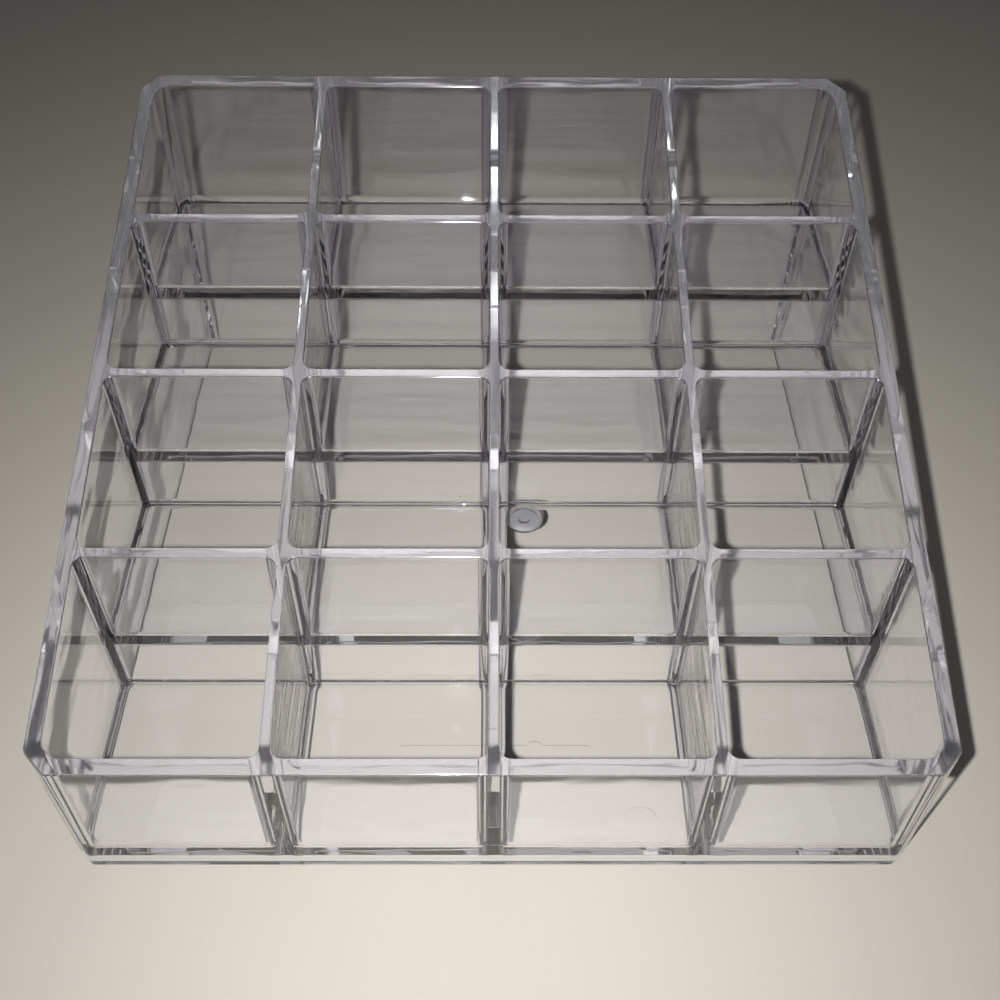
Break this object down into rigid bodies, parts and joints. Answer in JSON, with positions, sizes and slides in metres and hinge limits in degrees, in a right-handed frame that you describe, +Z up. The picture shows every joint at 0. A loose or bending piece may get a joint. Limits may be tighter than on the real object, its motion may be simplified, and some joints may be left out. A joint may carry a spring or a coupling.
{
  "type": "vanity organizer",
  "caption": "Clear moulded vanity organizer: a grid of open cells on floors that step up to the back, with one sloping rim and cut-off corners, for standing lipsticks and small bottles.",
  "frame": {"origin": "middle of the outer box, on the table", "axes": "+Z up, +Y from the low front towards the high back, +X to the right as seen from the front"},
  "size_m": [0.22, 0.211, 0.1085],
  "materials": {
    "clear_plastic": "polished clear moulding"
  },
  "bodies": {
    "root": {"front_wall": "clear_plastic", "back_wall": "clear_plastic", "left_wall": "clear_plastic", "right_wall": "clear_plastic", "front_left_corner": "clear_plastic", "front_right_corner": "clear_plastic", "back_left_corner": "clear_plastic", "back_right_corner": "clear_plastic", "front_floor": "clear_plastic", "second_floor": "clear_plastic", "third_floor": "clear_plastic", "back_floor": "clear_plastic", "front_cross_wall": "clear_plastic", "middle_cross_wall": "clear_plastic", "rear_cross_wall": "clear_plastic", "front_left_divider": "clear_plastic", "front_middle_divider": "clear_plastic", "front_right_divider": "clear_plastic", "second_left_divider": "clear_plastic", "second_middle_divider": "clear_plastic", "second_right_divider": "clear_plastic", "third_left_divider": "clear_plastic", "third_middle_divider": "clear_plastic", "third_right_divider": "clear_plastic", "back_left_divider": "clear_plastic", "back_middle_divider": "clear_plastic", "back_right_divider": "clear_plastic", "gate_mark": "clear_plastic"}
  },
  "joints": []
}
